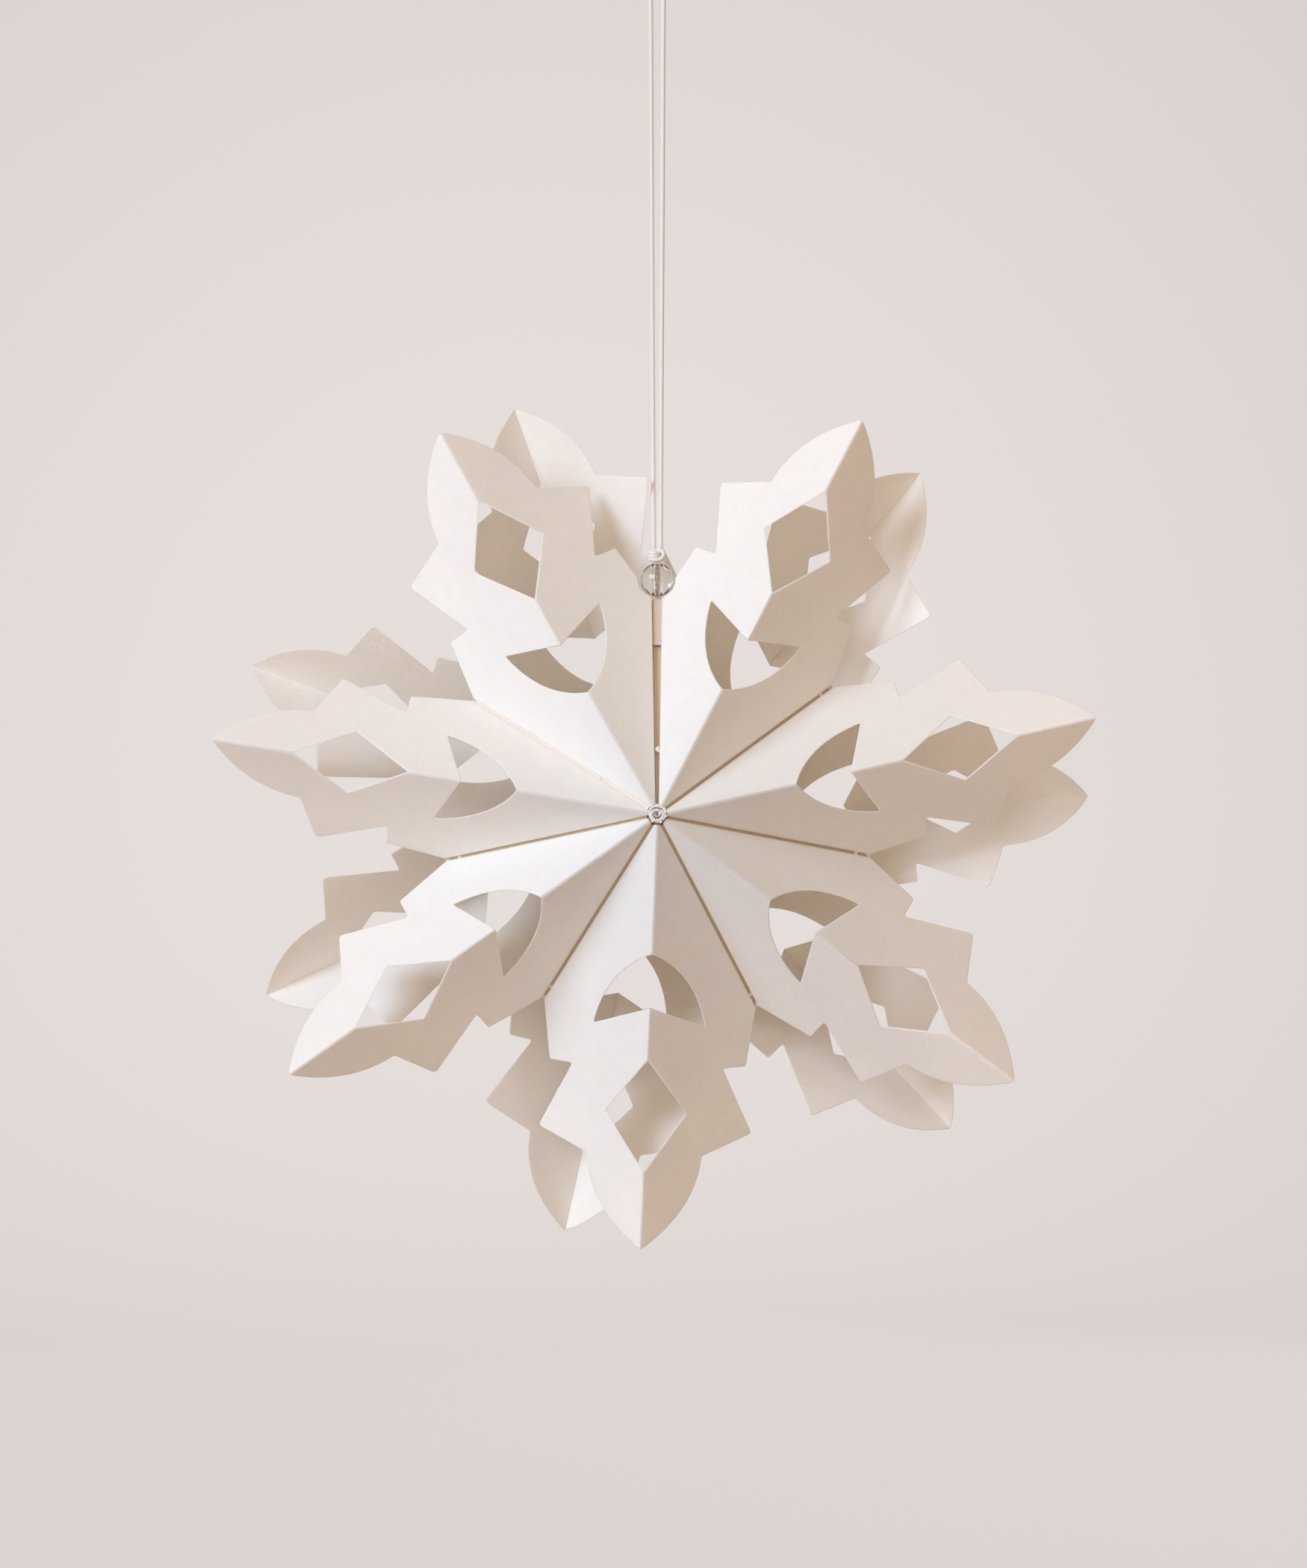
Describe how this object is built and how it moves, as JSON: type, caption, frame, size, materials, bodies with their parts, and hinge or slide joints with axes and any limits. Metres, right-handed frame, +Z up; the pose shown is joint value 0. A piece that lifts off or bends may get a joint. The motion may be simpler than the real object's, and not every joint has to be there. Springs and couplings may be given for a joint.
{
  "type": "paper snowflake ornament",
  "caption": "Hanging folded-card snowflake with arch and diamond cut-outs, pointed leaf tips, a clear bead and a white cord loop; the card points fold together like a fan.",
  "frame": {"origin": "inside top of the hanging loop, where the hook bears", "axes": "+Z up along the cord, the star's front faces -Y, +X to the viewer's right"},
  "size_m": [0.2409, 0.086, 0.3561],
  "materials": {
    "bead": "clear polished",
    "cord_tail": "white cotton cord",
    "glue1": "dried glue",
    "glue2": "dried glue",
    "glue3": "dried glue",
    "glue4": "dried glue",
    "glue5": "dried glue",
    "glue6": "dried glue",
    "hanging_loop": "white cotton cord",
    "knot": "white cotton cord",
    "point1_front_ccw": "uncoated felt-marked card",
    "point1_front_cw": "uncoated felt-marked card",
    "point1_gusset_ccw": "uncoated felt-marked card",
    "point1_gusset_cw": "uncoated felt-marked card",
    "point1_rear_ccw": "uncoated felt-marked card",
    "point1_rear_cw": "uncoated felt-marked card",
    "point2_front_ccw": "uncoated felt-marked card",
    "point2_front_cw": "uncoated felt-marked card",
    "point2_gusset_ccw": "uncoated felt-marked card",
    "point2_gusset_cw": "uncoated felt-marked card",
    "point2_rear_ccw": "uncoated felt-marked card",
    "point2_rear_cw": "uncoated felt-marked card",
    "point3_front_ccw": "uncoated felt-marked card",
    "point3_front_cw": "uncoated felt-marked card",
    "point3_gusset_ccw": "uncoated felt-marked card",
    "point3_gusset_cw": "uncoated felt-marked card",
    "point3_rear_ccw": "uncoated felt-marked card",
    "point3_rear_cw": "uncoated felt-marked card",
    "point4_front_ccw": "uncoated felt-marked card",
    "point4_front_cw": "uncoated felt-marked card",
    "point4_gusset_ccw": "uncoated felt-marked card",
    "point4_gusset_cw": "uncoated felt-marked card",
    "point4_rear_ccw": "uncoated felt-marked card",
    "point4_rear_cw": "uncoated felt-marked card",
    "point5_front_ccw": "uncoated felt-marked card",
    "point5_front_cw": "uncoated felt-marked card",
    "point5_gusset_ccw": "uncoated felt-marked card",
    "point5_gusset_cw": "uncoated felt-marked card",
    "point5_rear_ccw": "uncoated felt-marked card",
    "point5_rear_cw": "uncoated felt-marked card",
    "point6_front_ccw": "uncoated felt-marked card",
    "point6_front_cw": "uncoated felt-marked card",
    "point6_gusset_ccw": "uncoated felt-marked card",
    "point6_gusset_cw": "uncoated felt-marked card",
    "point6_rear_ccw": "uncoated felt-marked card",
    "point6_rear_cw": "uncoated felt-marked card",
    "point7_front_ccw": "uncoated felt-marked card",
    "point7_front_cw": "uncoated felt-marked card",
    "point7_gusset_ccw": "uncoated felt-marked card",
    "point7_gusset_cw": "uncoated felt-marked card",
    "point7_rear_ccw": "uncoated felt-marked card",
    "point7_rear_cw": "uncoated felt-marked card",
    "spine_tie": "white thread"
  },
  "bodies": {
    "cord": {"hanging_loop": "hanging_loop", "knot": "knot"},
    "bead": {"bead": "bead"},
    "end_page": {"point7_gusset_ccw": "point7_gusset_ccw", "spine_tie": "spine_tie", "cord_tail": "cord_tail"},
    "point7_front_cw": {"point7_front_cw": "point7_front_cw"},
    "point7_front_ccw": {"point7_front_ccw": "point7_front_ccw"},
    "point7_rear_cw": {"point7_rear_cw": "point7_rear_cw"},
    "point7_rear_ccw": {"point7_rear_ccw": "point7_rear_ccw"},
    "seam6": {"point6_gusset_ccw": "point6_gusset_ccw", "glue6": "glue6", "point7_gusset_cw": "point7_gusset_cw"},
    "point6_front_cw": {"point6_front_cw": "point6_front_cw"},
    "point6_front_ccw": {"point6_front_ccw": "point6_front_ccw"},
    "point6_rear_cw": {"point6_rear_cw": "point6_rear_cw"},
    "point6_rear_ccw": {"point6_rear_ccw": "point6_rear_ccw"},
    "seam5": {"point5_gusset_ccw": "point5_gusset_ccw", "glue5": "glue5", "point6_gusset_cw": "point6_gusset_cw"},
    "point5_front_cw": {"point5_front_cw": "point5_front_cw"},
    "point5_front_ccw": {"point5_front_ccw": "point5_front_ccw"},
    "point5_rear_cw": {"point5_rear_cw": "point5_rear_cw"},
    "point5_rear_ccw": {"point5_rear_ccw": "point5_rear_ccw"},
    "seam4": {"point4_gusset_ccw": "point4_gusset_ccw", "glue4": "glue4", "point5_gusset_cw": "point5_gusset_cw"},
    "point4_front_cw": {"point4_front_cw": "point4_front_cw"},
    "point4_front_ccw": {"point4_front_ccw": "point4_front_ccw"},
    "point4_rear_cw": {"point4_rear_cw": "point4_rear_cw"},
    "point4_rear_ccw": {"point4_rear_ccw": "point4_rear_ccw"},
    "seam3": {"point3_gusset_ccw": "point3_gusset_ccw", "glue3": "glue3", "point4_gusset_cw": "point4_gusset_cw"},
    "point3_front_cw": {"point3_front_cw": "point3_front_cw"},
    "point3_front_ccw": {"point3_front_ccw": "point3_front_ccw"},
    "point3_rear_cw": {"point3_rear_cw": "point3_rear_cw"},
    "point3_rear_ccw": {"point3_rear_ccw": "point3_rear_ccw"},
    "seam2": {"point2_gusset_ccw": "point2_gusset_ccw", "glue2": "glue2", "point3_gusset_cw": "point3_gusset_cw"},
    "point2_front_cw": {"point2_front_cw": "point2_front_cw"},
    "point2_front_ccw": {"point2_front_ccw": "point2_front_ccw"},
    "point2_rear_cw": {"point2_rear_cw": "point2_rear_cw"},
    "point2_rear_ccw": {"point2_rear_ccw": "point2_rear_ccw"},
    "seam1": {"point1_gusset_ccw": "point1_gusset_ccw", "glue1": "glue1", "point2_gusset_cw": "point2_gusset_cw"},
    "point1_front_cw": {"point1_front_cw": "point1_front_cw"},
    "point1_front_ccw": {"point1_front_ccw": "point1_front_ccw"},
    "point1_rear_cw": {"point1_rear_cw": "point1_rear_cw"},
    "point1_rear_ccw": {"point1_rear_ccw": "point1_rear_ccw"},
    "far_page": {"point1_gusset_cw": "point1_gusset_cw"}
  },
  "joints": [
    {"name": "bead_spin", "type": "hinge", "parent": "cord", "child": "bead", "pos_m": [0, 0, -0.1716], "axis": [0, 0, 1], "continuous": true},
    {"name": "turn", "type": "hinge", "parent": "cord", "child": "end_page", "pos_m": [0, 0, -0.1716], "axis": [0, 0, 1], "range_deg": [-180, 180]},
    {"name": "point7_front_crease", "type": "hinge", "parent": "end_page", "child": "point7_front_ccw", "pos_m": [0.00036, -0.042, -0.2345], "axis": [-0.0147, -0.5378, -0.8429], "range_deg": [0, 50.67]},
    {"name": "fold", "type": "hinge", "parent": "point7_front_ccw", "child": "point7_front_cw", "pos_m": [0.00059, -0.04172, -0.23468], "axis": [0.4533, 0.1903, 0.8708], "range_deg": [0, 79.21]},
    {"name": "point7_seam_crease", "type": "hinge", "parent": "point7_front_cw", "child": "seam6", "pos_m": [0.00087, -0.042, -0.23477], "axis": [-0.6821, -0.5378, -0.4955], "range_deg": [0, 50.67]},
    {"name": "point7_rear_crease_ccw", "type": "hinge", "parent": "end_page", "child": "point7_rear_ccw", "pos_m": [0.00034, 0.042, -0.23442], "axis": [0.1666, -0.5378, 0.8264], "range_deg": [0, 51.49]},
    {"name": "point7_rear_crease_cw", "type": "hinge", "parent": "seam6", "child": "point7_rear_cw", "pos_m": [0.0008, 0.042, -0.23478], "axis": [-0.7603, 0.5378, -0.3643], "range_deg": [0, 51.49]},
    {"name": "point6_front_crease", "type": "hinge", "parent": "seam6", "child": "point6_front_ccw", "pos_m": [0.00134, -0.042, -0.23541], "axis": [-0.6821, -0.5378, -0.4955], "range_deg": [0, 43.91]},
    {"name": "point6_ridge", "type": "hinge", "parent": "point6_front_ccw", "child": "point6_front_cw", "pos_m": [0.00137, -0.04175, -0.23572], "axis": [0.9659, 0.1453, 0.2141], "range_deg": [0, 70.08]},
    {"name": "point6_seam_crease", "type": "hinge", "parent": "point6_front_cw", "child": "seam5", "pos_m": [0.00148, -0.042, -0.23602], "axis": [-0.8276, -0.5378, 0.1609], "range_deg": [0, 43.91]},
    {"name": "point6_rear_crease_ccw", "type": "hinge", "parent": "seam6", "child": "point6_rear_ccw", "pos_m": [0.00139, 0.042, -0.23535], "axis": [0.7603, -0.5378, 0.3643], "range_deg": [0, 44.44]},
    {"name": "point6_rear_crease_cw", "type": "hinge", "parent": "seam5", "child": "point6_rear_cw", "pos_m": [0.00142, 0.042, -0.23598], "axis": [-0.7849, 0.5378, 0.3076], "range_deg": [0, 44.44]},
    {"name": "point5_front_crease", "type": "hinge", "parent": "seam5", "child": "point5_front_ccw", "pos_m": [0.00133, -0.042, -0.23681], "axis": [-0.8276, -0.5378, 0.1609], "range_deg": [0, 48.93]},
    {"name": "point5_ridge", "type": "hinge", "parent": "point5_front_ccw", "child": "point5_front_cw", "pos_m": [0.00111, -0.04173, -0.23701], "axis": [0.7884, 0.1783, -0.5887], "range_deg": [0, 77.27]},
    {"name": "point5_seam_crease", "type": "hinge", "parent": "point5_front_cw", "child": "seam4", "pos_m": [0.00097, -0.042, -0.23728], "axis": [-0.3893, -0.5378, 0.7478], "range_deg": [0, 48.93]},
    {"name": "point5_rear_crease_ccw", "type": "hinge", "parent": "seam5", "child": "point5_rear_ccw", "pos_m": [0.0014, 0.042, -0.2368], "axis": [0.7849, -0.5378, -0.3076], "range_deg": [0, 49.66]},
    {"name": "point5_rear_crease_cw", "type": "hinge", "parent": "seam4", "child": "point5_rear_cw", "pos_m": [0.00097, 0.042, -0.2372], "axis": [-0.2479, 0.5378, 0.8058], "range_deg": [0, 49.66]},
    {"name": "point4_front_crease", "type": "hinge", "parent": "seam4", "child": "point4_front_ccw", "pos_m": [0.00026, -0.042, -0.23765], "axis": [-0.3893, -0.5378, 0.7478], "range_deg": [0, 58.74]},
    {"name": "point4_ridge", "type": "hinge", "parent": "point4_front_ccw", "child": "point4_front_cw", "pos_m": [0.00002, -0.0417, -0.23756], "axis": [-0.038, 0.2497, -0.9676], "range_deg": [0, 90.65]},
    {"name": "point4_seam_crease", "type": "hinge", "parent": "point4_front_cw", "child": "seam3", "pos_m": [-0.00024, -0.042, -0.23763], "axis": [0.4468, -0.5378, 0.715], "range_deg": [0, 58.74]},
    {"name": "point4_rear_crease_ccw", "type": "hinge", "parent": "seam4", "child": "point4_rear_ccw", "pos_m": [0.00032, 0.042, -0.2377], "axis": [0.2479, -0.5378, -0.8058], "range_deg": [0, 60.02]},
    {"name": "point4_rear_crease_cw", "type": "hinge", "parent": "seam3", "child": "point4_rear_cw", "pos_m": [-0.00017, 0.042, -0.23759], "axis": [0.5685, 0.5378, 0.6226], "range_deg": [0, 60.02]},
    {"name": "point3_front_crease", "type": "hinge", "parent": "seam3", "child": "point3_front_ccw", "pos_m": [-0.00092, -0.042, -0.2372], "axis": [0.4468, -0.5378, 0.715], "range_deg": [0, 42.51]},
    {"name": "point3_ridge", "type": "hinge", "parent": "point3_front_ccw", "child": "point3_front_cw", "pos_m": [-0.00107, -0.04176, -0.23692], "axis": [-0.81, 0.1365, -0.5703], "range_deg": [0, 68.04]},
    {"name": "point3_seam_crease", "type": "hinge", "parent": "point3_front_cw", "child": "seam2", "pos_m": [-0.00128, -0.042, -0.23668], "axis": [0.8237, -0.5378, 0.1796], "range_deg": [0, 42.51]},
    {"name": "point3_rear_crease_ccw", "type": "hinge", "parent": "seam3", "child": "point3_rear_ccw", "pos_m": [-0.00094, 0.042, -0.23727], "axis": [-0.5685, -0.5378, -0.6226], "range_deg": [0, 42.99]},
    {"name": "point3_rear_crease_cw", "type": "hinge", "parent": "seam2", "child": "point3_rear_cw", "pos_m": [-0.00121, 0.042, -0.2367], "axis": [0.8426, 0.5378, 0.028], "range_deg": [0, 42.99]},
    {"name": "point2_front_crease", "type": "hinge", "parent": "seam2", "child": "point2_front_ccw", "pos_m": [-0.00145, -0.042, -0.2359], "axis": [0.8237, -0.5378, 0.1796], "range_deg": [0, 40.5]},
    {"name": "point2_ridge", "type": "hinge", "parent": "point2_front_ccw", "child": "point2_front_cw", "pos_m": [-0.00137, -0.04177, -0.23559], "axis": [-0.9783, 0.1244, 0.1655], "range_deg": [0, 65.08]},
    {"name": "point2_seam_crease", "type": "hinge", "parent": "point2_front_cw", "child": "seam1", "pos_m": [-0.00134, -0.042, -0.23526], "axis": [0.7188, -0.5378, -0.4405], "range_deg": [0, 40.5]},
    {"name": "point2_rear_crease_ccw", "type": "hinge", "parent": "seam2", "child": "point2_rear_ccw", "pos_m": [-0.00152, 0.042, -0.23593], "axis": [-0.8426, -0.5378, -0.028], "range_deg": [0, 40.92]},
    {"name": "point2_rear_crease_cw", "type": "hinge", "parent": "seam1", "child": "point2_rear_cw", "pos_m": [-0.0013, 0.042, -0.23532], "axis": [0.6275, 0.5378, -0.563], "range_deg": [0, 40.92]},
    {"name": "point1_front_crease", "type": "hinge", "parent": "seam1", "child": "point1_front_ccw", "pos_m": [-0.00093, -0.042, -0.23458], "axis": [0.7188, -0.5378, -0.4405], "range_deg": [0, 56.16]},
    {"name": "point1_ridge", "type": "hinge", "parent": "point1_front_ccw", "child": "point1_front_cw", "pos_m": [-0.00066, -0.04171, -0.23451], "axis": [-0.4829, 0.2301, 0.8449], "range_deg": [0, 87.21]},
    {"name": "point1_seam_crease", "type": "hinge", "parent": "point1_front_cw", "child": "far_page", "pos_m": [-0.00047, -0.042, -0.23432], "axis": [0.0147, -0.5378, -0.8429], "range_deg": [0, 56.16]},
    {"name": "point1_rear_crease_ccw", "type": "hinge", "parent": "seam1", "child": "point1_rear_ccw", "pos_m": [-0.001, 0.042, -0.23456], "axis": [-0.6275, -0.5378, 0.563], "range_deg": [0, 57.27]},
    {"name": "point1_rear_crease_cw", "type": "hinge", "parent": "far_page", "child": "point1_rear_cw", "pos_m": [-0.00051, 0.042, -0.23439], "axis": [-0.1377, 0.5378, -0.8317], "range_deg": [0, 57.27]}
  ],
  "couplings": [
    {"joint": "point7_front_crease", "follows": "fold", "ratio": 0.63343},
    {"joint": "point7_seam_crease", "follows": "fold", "ratio": 0.63343},
    {"joint": "point7_rear_crease_ccw", "follows": "fold", "ratio": 0.64372},
    {"joint": "point7_rear_crease_cw", "follows": "fold", "ratio": 0.64372},
    {"joint": "point6_front_crease", "follows": "fold", "ratio": 0.54806},
    {"joint": "point6_ridge", "follows": "fold", "ratio": 0.87847},
    {"joint": "point6_seam_crease", "follows": "fold", "ratio": 0.54806},
    {"joint": "point6_rear_crease_ccw", "follows": "fold", "ratio": 0.55472},
    {"joint": "point6_rear_crease_cw", "follows": "fold", "ratio": 0.55472},
    {"joint": "point5_front_crease", "follows": "fold", "ratio": 0.61143},
    {"joint": "point5_ridge", "follows": "fold", "ratio": 0.96918},
    {"joint": "point5_seam_crease", "follows": "fold", "ratio": 0.61143},
    {"joint": "point5_rear_crease_ccw", "follows": "fold", "ratio": 0.62068},
    {"joint": "point5_rear_crease_cw", "follows": "fold", "ratio": 0.62068},
    {"joint": "point4_front_crease", "follows": "fold", "ratio": 0.73529},
    {"joint": "point4_ridge", "follows": "fold", "ratio": 1.1382},
    {"joint": "point4_seam_crease", "follows": "fold", "ratio": 0.73529},
    {"joint": "point4_rear_crease_ccw", "follows": "fold", "ratio": 0.75139},
    {"joint": "point4_rear_crease_cw", "follows": "fold", "ratio": 0.75139},
    {"joint": "point3_front_crease", "follows": "fold", "ratio": 0.5304},
    {"joint": "point3_ridge", "follows": "fold", "ratio": 0.85268},
    {"joint": "point3_seam_crease", "follows": "fold", "ratio": 0.5304},
    {"joint": "point3_rear_crease_ccw", "follows": "fold", "ratio": 0.53644},
    {"joint": "point3_rear_crease_cw", "follows": "fold", "ratio": 0.53644},
    {"joint": "point2_front_crease", "follows": "fold", "ratio": 0.50505},
    {"joint": "point2_ridge", "follows": "fold", "ratio": 0.81529},
    {"joint": "point2_seam_crease", "follows": "fold", "ratio": 0.50505},
    {"joint": "point2_rear_crease_ccw", "follows": "fold", "ratio": 0.51026},
    {"joint": "point2_rear_crease_cw", "follows": "fold", "ratio": 0.51026},
    {"joint": "point1_front_crease", "follows": "fold", "ratio": 0.70267},
    {"joint": "point1_ridge", "follows": "fold", "ratio": 1.0947},
    {"joint": "point1_seam_crease", "follows": "fold", "ratio": 0.70267},
    {"joint": "point1_rear_crease_ccw", "follows": "fold", "ratio": 0.71672},
    {"joint": "point1_rear_crease_cw", "follows": "fold", "ratio": 0.71672}
  ]
}
